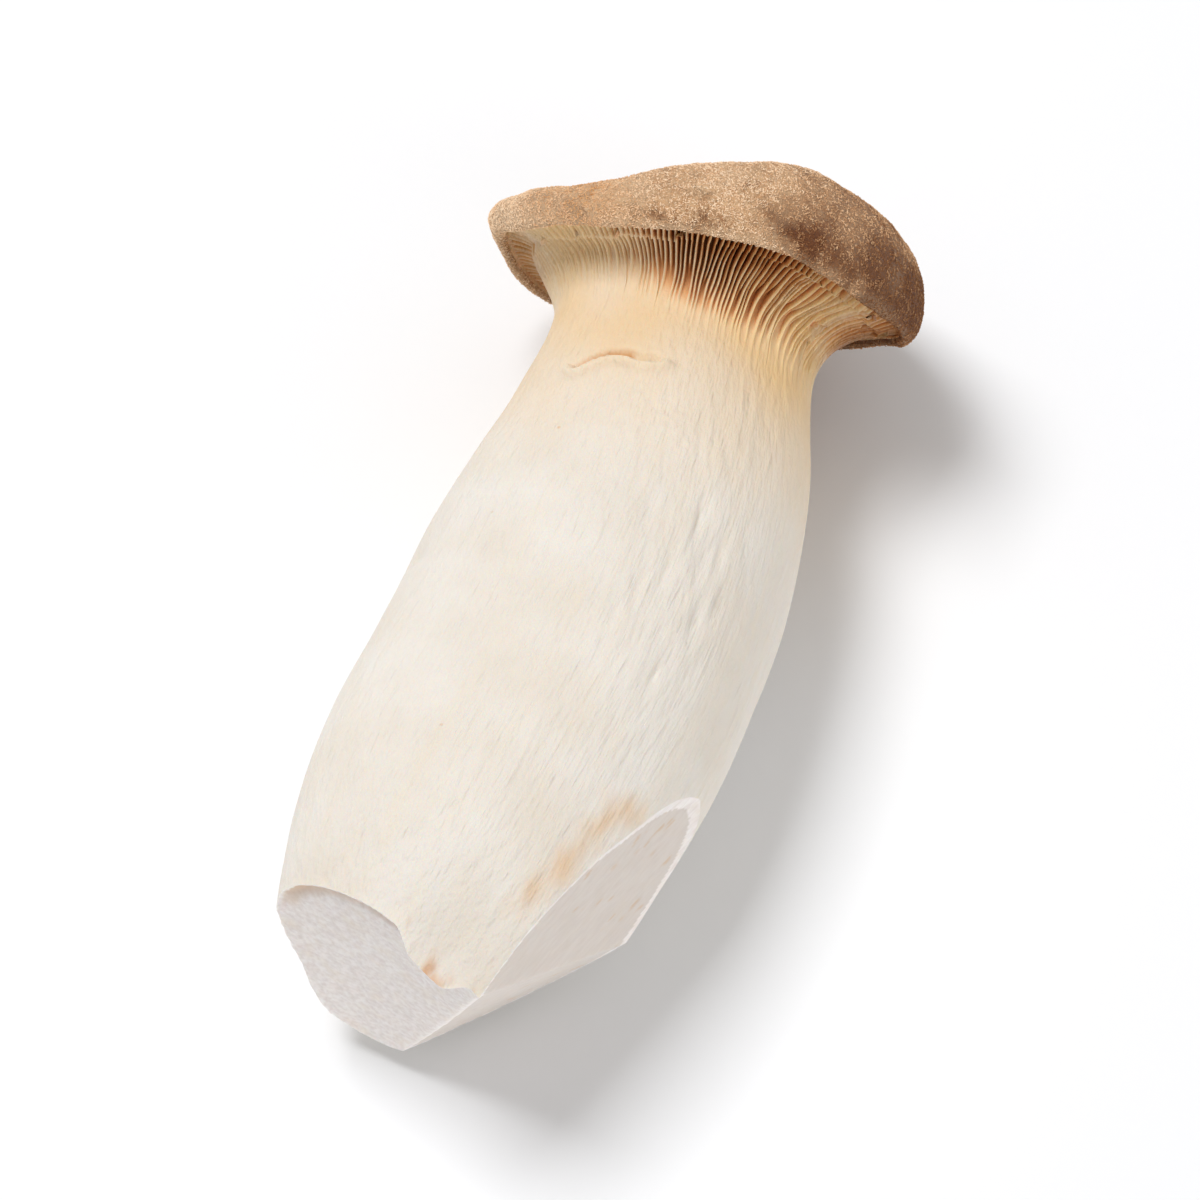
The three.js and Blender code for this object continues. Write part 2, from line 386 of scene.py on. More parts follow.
def store(piece, name, values):
    """Keeps a value or a vector for each point, for the materials to read."""
    kind, field = ("FLOAT", "value") if np.ndim(values) == 1 else ("FLOAT_VECTOR", "vector")
    layer = piece.data.attributes.get(name) or piece.data.attributes.new(name, kind, "POINT")
    layer.data.foreach_set(field, np.ascontiguousarray(values, np.float32).ravel())


def stored(piece, name):
    return read(piece.data.attributes[name].data, "value", kind=np.float32)


def keep_in_box(piece):
    """Brings the few points that stand out past the solid's box back onto it."""
    low, high = np.array(cad_box[0]), np.array(cad_box[1])
    set_coordinates(piece, np.clip(coordinates(piece), low, high))


def finish_piece(piece):
    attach(piece, BODY)


# ---- materials


def colour(hexadecimal):
    """An sRGB colour such as #F1E7D6 as linear RGBA."""
    channels = [int(hexadecimal[i:i + 2], 16) / 255 for i in (1, 3, 5)]
    linear = [c / 12.92 if c <= 0.04045 else ((c + 0.055) / 1.055) ** 2.4 for c in channels]
    return (*linear, 1.0)


def new_material(name):
    material = bpy.data.materials.new(name)
    material.use_nodes = True
    material.node_tree.nodes.clear()
    return material, material.node_tree


def add_node(tree, kind, inputs=None, stops=None, **settings):
    """Adds a node, sets it up, and fills its inputs with values or with outputs of other nodes."""
    node = tree.nodes.new("ShaderNode" + kind)
    for name, value in settings.items():
        setattr(node, name, value)
    if stops:
        ramp = node.color_ramp
        while len(ramp.elements) < len(stops):
            ramp.elements.new(1.0)
        for element, (position, tone) in zip(ramp.elements, stops):
            element.position = position
            element.color = tone if isinstance(tone, tuple) else (tone, tone, tone, 1.0)
    for name, value in (inputs or {}).items():
        if isinstance(value, bpy.types.NodeSocket):
            tree.links.new(value, node.inputs[name])
        else:
            node.inputs[name].default_value = value
    return node


def skin_material(look):
    """Fresh mushroom skin: matte cream flesh that lets a little light in, with fine lengthwise fibres."""
    material, tree = new_material("fresh king oyster mushroom skin")
    place = add_node(tree, "Attribute", attribute_name="straight").outputs["Vector"]
    gill_shade, tan_and_painted_light, stain_and_lip_shadow, scar = (
        add_node(tree, "Attribute", attribute_name=name).outputs["Fac"]
        for name in ("gill_shade", "tan_and_painted_light", "stain_and_lip_shadow", "scar"))

    lengthwise, folded = (
        add_node(tree, "Mapping", {"Vector": place, "Scale": (1, stretch, 1)}).outputs[0]
        for stretch in (0.035, 0.3))
    clouds, fibres, streaks, grain, folds = (
        add_node(tree, "TexNoise", {"Vector": at, "Scale": scale, "Detail": detail}).outputs["Fac"]
        for at, scale, detail in (
            (place, 70, 3),  # clouds of warmer and paler flesh, about 15 mm across
            (lengthwise, 2400, 3),  # fibres 0.4 mm wide that run up the stem for about 12 mm
            (lengthwise, 420, 4),  # streaks of them, 2.4 mm wide
            (place, 1500, 4),  # grain 0.7 mm across
            (folded, 650, 2),  # shallow folds 1.5 mm wide and 5 mm long
        ))
    cream = add_node(tree, "ValToRGB", {"Fac": clouds}, [
        (0.35, colour("#E8E3DB")), (0.7, tuple(look.skin_colour) + (1.0,))])
    streak_share = add_node(tree, "MapRange", {
        "Value": streaks, "From Min": 0.48, "From Max": 0.75, "To Max": 0.3})
    # Tiny ochre flecks, half a millimetre across and nearly a centimetre apart.
    flecks = add_node(tree, "TexVoronoi", {"Vector": place, "Scale": 110})
    fleck_share = add_node(tree, "MapRange", {
        "Value": flecks.outputs["Distance"], "From Min": 0.045, "From Max": 0.02, "To Max": 0.6})
    # Crests stay cream, and the deeper it goes between two gills the browner the painted shade gets; the
    # underside of the cap takes painted shade too.
    between = add_node(tree, "ValToRGB", {"Fac": gill_shade}, [
        (0.0, colour("#F4E0C3")), (0.12, colour("#EFD0A8")), (0.35, colour("#DFAC79")),
        (0.7, colour("#B3733F")), (1.0, colour("#87502B"))])
    gill_share = add_node(tree, "MapRange", {"Value": gill_shade, "From Max": 0.3})
    tone = cream.outputs[0]
    for share, over in (
        (streak_share.outputs[0], colour("#E9DCC6")),
        # Tan of the neck, painted stronger on its right side as warm light in the cap's shade.
        (tan_and_painted_light, colour("#E8C795")),
        (stain_and_lip_shadow, colour("#E2C29D")),
        (fleck_share.outputs[0], colour("#D9A56A")),
        (gill_share.outputs[0], between.outputs[0]),
        (scar, colour("#CF8E45")),
    ):
        tone = add_node(tree, "Mix", {"Factor": share, 6: tone, 7: over}, data_type="RGBA").outputs[2]

    relief = add_node(tree, "Mix", {"Factor": 0.35, 2: fibres, 3: grain}, data_type="FLOAT")
    soft_bump = add_node(tree, "Bump", {"Height": folds, "Strength": 0.6, "Distance": 0.0008})
    bump = add_node(tree, "Bump", {
        "Height": relief.outputs[0], "Strength": 0.9, "Distance": 0.0003, "Normal": soft_bump.outputs[0]})
    shader = add_node(tree, "BsdfPrincipled", {
        "Base Color": tone, "Normal": bump.outputs[0], "Roughness": 0.62, "IOR": 1.4,
        "Specular IOR Level": 0.3, "Subsurface Weight": 0.3, "Subsurface Scale": 0.0025,
        "Subsurface Radius": (1.0, 0.6, 0.35)})
    add_node(tree, "OutputMaterial", {"Surface": shader.outputs[0]})
    return material


def cut_material():
    """Flesh cut by a knife: white, finely porous and fibrous, matte."""
    material, tree = new_material("knife-cut mushroom flesh")
    place = add_node(tree, "Attribute", attribute_name="straight").outputs["Vector"]
    stain_and_lip_shadow, cut_shade = (
        add_node(tree, "Attribute", attribute_name=name).outputs["Fac"] for name in ("stain_and_lip_shadow", "tan_and_painted_light"))
    lengthwise = add_node(tree, "Mapping", {"Vector": place, "Scale": (1, 0.12, 1)})
    # Fibre ends and pores, 0.4 mm across and drawn at 0.8 mm so that they show.
    pores = add_node(tree, "TexNoise", {"Vector": lengthwise.outputs[0], "Scale": 1300, "Detail": 4})
    clouds = add_node(tree, "TexNoise", {"Vector": place, "Scale": 260, "Detail": 4})
    flesh = add_node(tree, "ValToRGB", {"Fac": pores.outputs["Fac"]},
                     [(0.3, colour("#E8E0DC")), (0.65, colour("#F8F3F0"))])
    warmer = add_node(tree, "MapRange", {
        "Value": clouds.outputs["Fac"], "From Min": 0.5, "From Max": 0.8, "To Max": 0.5})
    # The cuts under the foot get a greyer painted shade.
    cut_shade_share = add_node(tree, "MapRange", {"Value": cut_shade, "To Max": 0.7})
    tone = flesh.outputs[0]
    # The stain tone on the cuts is stains in flecks and painted shadow under the skin's lip.
    for share, over in ((warmer.outputs[0], "#F0E4D2"), (cut_shade_share.outputs[0], "#CFC5BB"), (stain_and_lip_shadow, "#D3B594")):
        tone = add_node(tree, "Mix", {
            "Factor": share, 6: tone, 7: colour(over)}, data_type="RGBA").outputs[2]
    bump = add_node(tree, "Bump", {
        "Height": pores.outputs["Fac"], "Strength": 0.6, "Distance": 0.00015})
    shader = add_node(tree, "BsdfPrincipled", {
        "Base Color": tone, "Normal": bump.outputs[0], "Roughness": 0.7, "IOR": 1.4,
        "Specular IOR Level": 0.25, "Subsurface Weight": 0.35, "Subsurface Scale": 0.0025,
        "Subsurface Radius": (1.0, 0.7, 0.5)})
    add_node(tree, "OutputMaterial", {"Surface": shader.outputs[0]})
    return material


def felt_material(look):
    """The cap's skin: a matte brown felt of short fibrils, mottled, darker on its right side and paler on its
    left.
    """
    material, tree = new_material("cap felt")
    place = add_node(tree, "Attribute", attribute_name="straight").outputs["Vector"]
    pale, dark = (
        add_node(tree, "Attribute", attribute_name=name).outputs["Fac"] for name in ("pale", "dark"))
    # Mottles about 5 mm across.
    mottle = add_node(tree, "TexNoise", {
        "Vector": place, "Scale": 190, "Detail": 5, "Roughness": 0.6})
    # The felt's curls, 0.3 mm across and drawn at 0.6 mm so that they show.
    curls = add_node(tree, "TexNoise", {
        "Vector": place, "Scale": 1500, "Detail": 4, "Distortion": 1.8})
    ground = add_node(tree, "ValToRGB", {"Fac": mottle.outputs["Fac"]}, [
        (0.32, colour("#9A6B48")), (0.48, tuple(look.felt_colour) + (1.0,)), (0.68, colour("#E0B78D"))])
    curl_share = add_node(tree, "MapRange", {
        "Value": curls.outputs["Fac"], "From Min": 0.4, "From Max": 0.66, "To Max": 0.75})
    tone = ground.outputs[0]
    for share, over in ((curl_share.outputs[0], "#E6C49C"), (dark, "#714529"), (pale, "#DCBD9A")):
        tone = add_node(tree, "Mix", {
            "Factor": share, 6: tone, 7: colour(over)}, data_type="RGBA").outputs[2]
    bump = add_node(tree, "Bump", {
        "Height": curls.outputs["Fac"], "Strength": 1.0, "Distance": 0.0006})
    shader = add_node(tree, "BsdfPrincipled", {
        "Base Color": tone, "Normal": bump.outputs[0], "Roughness": 0.9, "IOR": 1.4,
        "Specular IOR Level": 0.15, "Sheen Weight": 0.12, "Sheen Roughness": 0.5})
    add_node(tree, "OutputMaterial", {"Surface": shader.outputs[0]})
    return material


def fibril_material():
    """Single fibrils of the felt: pale tips over darker roots."""
    material, tree = new_material("cap felt fibrils")
    tone, golden = (
        add_node(tree, "Attribute", attribute_name=name).outputs["Fac"] for name in ("tone", "golden"))
    tinted = add_node(tree, "ValToRGB", {"Fac": tone}, [
        (0.0, colour("#5A3520")), (0.35, colour("#9A6B47")),
        (0.7, colour("#E3BA90")), (1.0, colour("#FCE4C6"))])
    golden_share = add_node(tree, "MapRange", {"Value": golden, "To Max": 0.6})
    toned = add_node(tree, "Mix", {
        "Factor": golden_share.outputs[0], 6: tinted.outputs[0], 7: colour("#D9994F")}, data_type="RGBA")
    shader = add_node(tree, "BsdfPrincipled", {
        "Base Color": toned.outputs[2], "Roughness": 0.85, "IOR": 1.4, "Specular IOR Level": 0.2})
    add_node(tree, "OutputMaterial", {"Surface": shader.outputs[0]})
    return material


# ---- the body


def ring_faces(low, high):
    """Faces between two rings (start, count). One ring may have a whole number of times as many points."""
    (low_start, low_count), (high_start, high_count) = low, high
    if low_count == high_count:
        here = np.arange(low_count)
        after = (here + 1) % low_count
        quads = np.stack([low_start + here, high_start + here, high_start + after, low_start + after], axis=1)
        return quads.tolist()
    cells = min(low_count, high_count)
    steps = max(low_count, high_count) // cells
    half = math.ceil(steps / 2)
    faces = []
    for cell in range(cells):
        on_low = [low_start + (cell * (low_count // cells) + k) % low_count for k in range(steps + 1)]
        on_high = [high_start + (cell * (high_count // cells) + k) % high_count for k in range(steps + 1)]
        for k in range(steps):
            across = 0 if k < half else 1
            if low_count > high_count:
                faces.append((on_low[k], on_high[across], on_low[k + 1]))
            else:
                faces.append((on_low[across], on_high[k], on_high[k + 1]))
        if low_count > high_count:
            faces.append((on_low[half], on_high[0], on_high[1]))
        else:
            faces.append((on_low[0], on_high[half], on_low[1]))
    return faces


def grow_skin(look):
    """The whole untrimmed mushroom as one closed skin."""
    columns = np.arange(STEM_COLUMNS) / STEM_COLUMNS * TURN
    profile = along_profile(STEM_PROFILE, np.linspace(0, 1, PROFILE_SAMPLES))
    rings, gill_shades = [], []
    for distance in STEM_ROWS:
        radius = np.interp(distance, profile[:, 0], profile[:, 1])
        rings.append(point_around(columns, radius * stem_swell(columns, distance), distance))
        gill_shades.append(np.zeros(STEM_COLUMNS))
    for share in np.linspace(0, 1, GILL_ROWS):
        # Each ring of gills also gives the painted shade of its points.
        ring, depth = gill_ring(share, look.gill_count, look.gill_depth / MM)
        rings.append(ring)
        gill_shades.append(depth)
    gill_rows = len(rings)
    for share in even_shares(CAP_PROFILE, CAP_ROWS, 0.25)[1:-1]:
        radius, height = along_profile(CAP_PROFILE, share)
        rings.append(cap_point(columns, radius, height))
        gill_shades.append(np.zeros(STEM_COLUMNS))

    foot = point_around(0.0, 0.0, -20.0)
    crown = cap_point(0.0, 0.0, CAP_PROFILE[-1][1])
    points = np.concatenate([foot[None], *rings, crown[None]])
    gill_shade = np.concatenate([[0], *gill_shades, [0]])
    starts = 1 + np.concatenate([[0], np.cumsum([len(ring) for ring in rings])]).astype(int)
    faces, finishes = [], []
    count = len(rings[0])
    for k in range(count):
        faces.append((0, starts[0] + k, starts[0] + (k + 1) % count))
    finishes += [SKIN] * count
    for i in range(1, len(rings)):
        band = ring_faces((starts[i - 1], len(rings[i - 1])), (starts[i], len(rings[i])))
        faces += band
        finishes += [FELT if i > gill_rows else SKIN] * len(band)
    last, count = starts[len(rings) - 1], len(rings[-1])
    for k in range(count):
        faces.append((len(points) - 1, last + (k + 1) % count, last + k))
    finishes += [FELT] * count

    faces = [tuple(int(v) for v in face) for face in faces]
    piece = new_piece("mushroom_body", laid_down(points), faces)
    piece.data.polygons.foreach_set("material_index", finishes)
    return piece, gill_shade


# Marks on the skin: angle round the stem in degrees and distance up the centreline in millimetres.
SCAR = [(121, 86.1), (116, 87.6), (110, 88.7), (102, 88.9), (97, 88.3), (92, 88.7)]
STAIN = [(53, 6), (50, 12), (46, 17), (42, 24), (38, 26)]
DRIED_LIP = [(86, -2.8), (79, -4.0), (70, -5.8), (60, -7.6), (48, -6.8)]
TORN = [(95.7, 84.4), (92, 82.6), (79.8, 79.3), (84, 80.6), (72, 77), (64.5, 75.5), (68, 73.2)]
# These have their width and length too.
DENTS = [
    (77, 63.3, 0.7, 3.0), (64.7, 57.3, 0.8, 3.6), (49.4, 53, 1.0, 2.6), (55, 61, 1.1, 2.4),
    (49.3, 63.8, 0.7, 2.4), (53.5, 43, 0.6, 2.6), (74, 47.9, 0.5, 2.2), (60, 66, 0.6, 3.2),
    (70, 52, 0.5, 3.0), (44, 57, 0.7, 2.2),
]
# Dark patches of the felt: angle, height over the cap's edge and size.
DARK_PATCHES = [(63, 2.2, 4.6), (54, 3.2, 3), (86, 1.3, 1.7), (98, 0.9, 1.5)]


def near_line(angle, distance, line, radius=22.0):
    """How far points on the stem are from a line of marks, in millimetres, and on which side."""
    across = np.radians(angle)
    nearest = np.full(len(distance), 1e9)
    side = np.zeros(len(distance))
    for (a0, d0), (a1, d1) in zip(line, line[1:]):
        start = np.array([math.radians(a0) * radius, d0])
        step = np.array([math.radians(a1) * radius, d1]) - start
        offset = np.stack([across * radius, distance], axis=-1) - start
        t = np.clip(offset @ step / (step @ step), 0, 1)
        gap = offset - t[:, None] * step
        length = np.linalg.norm(gap, axis=1)
        closer = length < nearest
        nearest[closer] = length[closer]
        side[closer] = gap[closer, 1]
    return nearest, side


def foot_form(angle, distance):
    """Flatter on the foot's left side, fuller below it, and drawn in where two cuts meet the skin."""
    degrees = np.mod(np.degrees(angle), 360)
    fuller = 2.4 * hump((degrees, 245, 30))
    flatter = 3.4 * hump((degrees, 202, 36))
    drawn_in = 1.6 * hump((degrees, 68, 15)) * (1 - smoothstep(distance, -6, 13))
    return (fuller - flatter) * (1 - smoothstep(distance, 0, 32)) - drawn_in


def relief_of_skin(angle, distance):
    """How far each point of the skin stands out, in millimetres."""
    degrees = np.degrees(angle)
    on_cylinder = straightened(angle, MIDDLE_RADIUS, distance)
    on_stem = 1 - smoothstep(distance, 93, 99)
    relief = 0.22 * wavy(on_cylinder, (11, 16, 11))
    relief += 0.10 * wavy(on_cylinder + 40, (4, 9, 4))
    relief += 0.09 * wavy(on_cylinder + 90, (1.5, 8, 1.5))
    relief += foot_form(angle, distance)
    # A patch of lengthwise wrinkles on the upper right of the stem.
    wrinkled = hump((degrees, 62, 20), (distance, 58, 14))
    wrinkled += 0.5 * hump((degrees, 48, 16), (distance, 34, 12))
    ridges = wavy(on_cylinder + 17, (1.5, 6, 1.5))
    relief += wrinkled * (0.5 * ridges - 0.8 * np.maximum(ridges - 0.15, 0))
    for dent_angle, dent_distance, width, length in DENTS:
        across = np.radians(degrees - dent_angle) * MIDDLE_RADIUS
        relief -= 0.6 * hump((across, 0, width), (distance, dent_distance, length))
    for spot_angle, spot_distance in TORN:
        gap = np.hypot(np.radians(degrees - spot_angle) * 23, distance - spot_distance)
        relief += 0.3 * hump((gap, 0, 1.8)) * wavy(on_cylinder + 5, (0.8, 1.0, 0.8))
    # The crescent scar: a crack with a lifted lower lip.
    gap, side = near_line(degrees, distance, SCAR)
    relief -= 1.1 * hump((gap, 0, 0.7))
    relief += 1.1 * hump((gap, 1.5, 0.9)) * (side < 0)
    # A notch in the left side.
    relief -= 0.6 * hump((degrees, 156, 7), (distance, 51.5, 2.2))
    return relief * on_stem


def relief_of_cap(angle, radius, distance):
    """How far each point of the felted cap stands out, in millimetres."""
    place = straightened(angle, radius, distance)
    relief = 0.35 * wavy(place, (9, 9, 9)) + 0.16 * wavy(place + 31, (3, 3, 3))
    return relief + 0.08 * wavy(place + 77, (1.1, 1.1, 1.1))


def shape_skin(piece):
    """Moves the skin out and in by its relief."""
    angle, radius, distance = around_stem(stood_up(coordinates(piece)))
    mesh = piece.data
    owners = read(mesh.loops, "vertex_index", kind=int)
    finishes, sizes = (read(mesh.polygons, name, kind=int) for name in ("material_index", "loop_total"))
    felted = np.zeros(len(mesh.vertices), bool)
    felted[owners[np.repeat(finishes == FELT, sizes)]] = True
    relief = np.where(felted, relief_of_cap(angle, radius, distance), relief_of_skin(angle, distance))
    set_coordinates(piece, coordinates(piece) + vertex_normals(piece) * (relief * MM)[:, None])


# The knife strokes that trim the foot: a point on each and the direction it faces. The first is curved.
CUTS = [
    {"at": (0, -4, 10), "facing": (-0.129, -0.991, 0.029), "along": (-0.464, 0.086, 0.882), "bend": 113},
    {"at": (17.6, 9.3, 11.8), "facing": (0.96, -0.25, 0.14), "along": (0.25, 0.96, 0), "bend": 0},
    {"at": (10.8, 8.4, -21.95), "facing": (0.757, -0.579, -0.301), "along": (0.25, 0.96, 0), "bend": 0},
    {"at": (9, -9, 16), "facing": (0.06, -0.995, 0.05), "along": (1, 0, 0), "bend": 0},
]
CUT_SIZE = 84.0
CUT_GRAIN = 0.4
# How thick the block is that a stroke takes away, in metres.
CUT_THICKNESS = 0.06


def skin_radius(angle, distance):
    profile = along_profile(STEM_PROFILE, np.linspace(0, 1, 2001))
    grown = np.interp(distance, profile[:, 0], profile[:, 1]) * stem_swell(angle, distance)
    return grown + foot_form(angle, distance)


def edge_of_cut(cut, places):
    """How far a cut stands out near the skin: a thin wall of skin left standing, or a hollow under a lip."""
    angle, radius, distance = around_stem(places)
    degrees = np.mod(np.degrees(angle), 360)
    below = skin_radius(angle, distance) - radius
    if cut["bend"]:
        ragged = 0.75 + 0.9 * wavy(places, (2.0, 2.0, 2.0)) + 0.35 * wavy(places + 5, (0.8, 0.8, 0.8))
        walled = smoothstep(degrees, 150, 168) * (1 - smoothstep(degrees, 232, 246))
        wall = 1.7 * np.clip(ragged, 0.1, 1.4) * walled * smoothstep(1.1 - below, 0, 0.5)
        lipped = smoothstep(degrees, 60, 75) * (1 - smoothstep(degrees, 140, 165))
        tongue = smoothstep(degrees, 48, 58) * (1 - smoothstep(degrees, 76, 90))
        tongue *= smoothstep(3.2 - below, 0, 1.2)
        lip = 0.5 * smoothstep(1.2 - below, 0, 0.7) - 0.45 * hump((below, 1.9, 0.9))
        return wall + 2.4 * tongue + lip * lipped * (1 - tongue)
    return 0.3 * hump((below, 0, 0.5)) * smoothstep(places[:, 2], -4, 4)


def cut_directions(cut):
    """Unit vectors along a cut, the way it faces, and across it."""
    along, facing = (np.array(cut[name], float) / np.linalg.norm(cut[name]) for name in ("along", "facing"))
    if cut["bend"]:
        facing -= along * (facing @ along)
        facing /= np.linalg.norm(facing)
    else:
        along -= facing * (along @ facing)
        along /= np.linalg.norm(along)
    return along, facing, np.cross(along, facing)


def knife_stroke(cut, materials):
    """A block whose near side is the cut face that the stroke leaves, with the flesh's fibres on it."""
    along, facing, side = cut_directions(cut)
    steps = int(CUT_SIZE / CUT_GRAIN)
    bpy.ops.object.select_all(action="DESELECT")
    bpy.ops.mesh.primitive_grid_add(x_subdivisions=steps, y_subdivisions=steps, size=CUT_SIZE * MM)
    block = bpy.context.object
    u, v, _ = (coordinates(block) / MM).T
    out = np.zeros(len(u))
    if cut["bend"]:
        v = np.sin(v / cut["bend"]) * cut["bend"]
        out = cut["bend"] - np.sqrt(cut["bend"] ** 2 - v ** 2)
    places = np.array(cut["at"]) + u[:, None] * along + v[:, None] * side
    out = out + 0.1 * wavy(places, (3.0, 6.0, 3.0)) + 0.05 * wavy(places + 9, (0.7, 2.5, 0.7))
    out = out + edge_of_cut(cut, places)
    places = places + out[:, None] * facing
    set_coordinates(block, laid_down(places))
    for material in materials:
        block.data.materials.append(material)
    block.data.polygons.foreach_set("material_index", [CUT] * len(block.data.polygons))
    outward = laid_down(np.array([facing]))[0] - laid_down(np.zeros((1, 3)))[0]
    bpy.ops.object.mode_set(mode="EDIT")
    bpy.ops.mesh.select_all(action="SELECT")
    bpy.ops.mesh.extrude_region_move(TRANSFORM_OT_translate={"value": outward / MM * CUT_THICKNESS})
    bpy.ops.mesh.select_all(action="SELECT")
    bpy.ops.mesh.normals_make_consistent(inside=False)
    bpy.ops.object.mode_set(mode="OBJECT")
    return block


def trim_foot(piece, materials):
    for cut in CUTS:
        block = knife_stroke(cut, materials)
        only_selected(piece)
        stroke = piece.modifiers.new("knife", "BOOLEAN")
        stroke.operation = "DIFFERENCE"
        stroke.solver = "MANIFOLD"
        stroke.object = block
        bpy.ops.object.modifier_apply(modifier=stroke.name)
        bpy.data.objects.remove(block)


def beyond_cut(cut, places):
    """How far points are past a cut's face, in millimetres."""
    _, facing, side = cut_directions(cut)
    offset = places - np.array(cut["at"])
    hollow = (offset @ side) ** 2 / (2 * cut["bend"]) if cut["bend"] else 0
    return offset @ facing - hollow


def soften_creases(piece):
    """Rounds the crease where the end cut runs into the cut under the foot."""
    places = stood_up(coordinates(piece))
    end, others = beyond_cut(CUTS[0], places), [beyond_cut(cut, places) for cut in CUTS[2:]]
    angle, radius, distance = around_stem(places)
    inside = skin_radius(angle, distance) - radius > 0.5
    near = (np.abs(end) < 2.0) & inside & np.logical_or(*(np.abs(other) < 1.6 for other in others))
    only_selected(piece)
    bpy.ops.object.mode_set(mode="EDIT")
    bpy.ops.mesh.select_mode(type="VERT")
    bpy.ops.mesh.select_all(action="DESELECT")
    bpy.ops.object.mode_set(mode="OBJECT")
    piece.data.vertices.foreach_set("select", near)
    bpy.ops.object.mode_set(mode="EDIT")
    bpy.ops.mesh.vertices_smooth(factor=0.5, repeat=14)
    bpy.ops.object.mode_set(mode="OBJECT")


def mark_skin(piece, pattern, gill_shade):
    """Stores what skin and cuts show: the straightened place, the gills' painted shade, tan and painted light,
    stains, painted shadow under the lip, and scars.
    """
    places = coordinates(piece)
    tree = kdtree.KDTree(len(pattern))
    for index, place in enumerate(pattern.tolist()):
        tree.insert(place, index)
    tree.balance()
    nearest = np.array([tree.find(place)[1] for place in places.tolist()])
    stood = stood_up(places)
    angle, radius, distance = around_stem(stood)
    degrees = np.degrees(angle)
    on_cylinder = straightened(angle, MIDDLE_RADIUS, distance)
    store(piece, "straight", straightened(angle, radius, distance) * MM)
    store(piece, "gill_shade", gill_shade[nearest])

    beyond = [beyond_cut(cut, stood) for cut in CUTS]
    below = skin_radius(angle, distance) - radius
    on_cut = (np.min(np.abs(beyond), axis=0) < 0.5) & (below > 0.7)
    uneven = wavy(on_cylinder + 3, (2.2, 3.0, 2.2))
    streaky = wavy(on_cylinder + 8, (1.2, 4.0, 1.2))
    # The neck is tan, painted stronger on its right side under the cap as warm light in the cap's shade. On a
    # cut the same value is painted shade, greyer on the cuts under the foot.
    tan_and_painted_light = smoothstep(distance, 62, 104) * (0.75 + 0.25 * wavy(on_cylinder, (14, 10, 14)))
    # Painted warm light: extra tan on the neck's right side under the cap.
    tan_and_painted_light += 0.45 * hump((degrees, 35, 32), (distance, 99, 9))
    tan_and_painted_light[on_cut & (beyond[0] < -1)] = 1
    store(piece, "tan_and_painted_light", np.clip(tan_and_painted_light, 0, 1))
    # The stained patch on the skin, painted shadow under the skin's lip on the end cut, and stains in flecks
    # on the cuts.
    gap, _ = near_line(degrees, distance, STAIN, 24.5)
    stain_and_lip_shadow = 0.8 * smoothstep(1.5 + 1.5 * uneven + 1.2 * streaky - gap, -2.2, 2.8)
    # Painted shadow on the end cut under the skin's lip.
    lip = smoothstep(degrees, 55, 75) * (1 - smoothstep(degrees, 140, 165)) * (1 - smoothstep(below, 1.2, 3.6))
    fleck = smoothstep(streaky + 0.6 * wavy(on_cylinder + 60, (0.6, 2.2, 0.6)), 0.5, 0.75) * (distance > 4)
    stain_and_lip_shadow = np.where(on_cut, np.maximum(0.8 * lip * (distance < 2), 0.6 * fleck), stain_and_lip_shadow)
    store(piece, "stain_and_lip_shadow", np.clip(stain_and_lip_shadow, 0, 1))
    # Dried orange in the crescent scar, on the lip and the tongue of skin over the end cut, and on
    # tips of its left edge.
    patchy = smoothstep(uneven, -0.2, 0.3)
    gap, _ = near_line(degrees, distance, SCAR[:4])
    scar = 0.9 * hump((gap, 0, 0.5))
    gap, _ = near_line(degrees, distance, DRIED_LIP)
    scar += 0.55 * hump((gap, 0, 0.8)) * patchy
    scar += 0.6 * smoothstep(beyond[0], 1.2, 2.3) * patchy * (np.abs(degrees - 62) < 12)
    tips = hump((degrees, -168, 5)) + hump((degrees, -124, 5))
    scar += 0.9 * hump((beyond[0], -0.3, 0.6)) * tips
    store(piece, "scar", np.clip(scar, 0, 1))


def mark_felt(piece):
    """Stores where the cap's felt is pale, dark and golden."""
    angle, radius, distance = around_stem(stood_up(coordinates(piece)))
    degrees = np.degrees(angle)
    felt = straightened(angle, radius, distance)
    above_edge = distance - CAP_AT - round_the_cap(EDGE_LIFT, angle)
    uneven = 1.5 * wavy(felt + 30, (4, 4, 4))
    mottled = wavy(felt + 50, (3.4, 3.4, 3.4)) + 0.6 * wavy(felt + 70, (1.3, 1.3, 1.3))
    from_crown = smoothstep(radius + 2 * mottled, 12, 25)
    right_side = (1 - smoothstep(degrees + 7 * uneven + 16 * mottled, 32, 72)) * from_crown
    dark = right_side * smoothstep(degrees, -80, -30) * (0.95 - 0.35 * smoothstep(above_edge, 7, 12))
    for patch_angle, height, size in DARK_PATCHES:
        gap = np.hypot(np.radians(degrees - patch_angle) * 31, above_edge - height)
        dark += 0.85 * hump((gap, 0, size)) * smoothstep(mottled, -0.5, 0.2)
    dark += 0.3 * smoothstep(mottled, 0.1, 0.7)
    pale = 0.55 * (1 - smoothstep(above_edge + 0.4 * uneven, 0.4, 1.6))
    left_side = smoothstep(degrees, 100, 150)
    pale += 0.5 * smoothstep(wavy(felt + 12, (7, 7, 7)), 0.1, 0.5) + 0.5 * left_side * from_crown
    golden = smoothstep(degrees, 98, 116) * (1 - smoothstep(degrees, 128, 150))
    golden *= 0.7 + 0.6 * mottled
    golden *= from_crown
    store(piece, "pale", np.clip(pale * (1 - 0.6 * right_side), 0, 0.8))
    store(piece, "dark", np.clip(dark, 0, 1))
    store(piece, "golden", np.clip(golden, 0, 1))


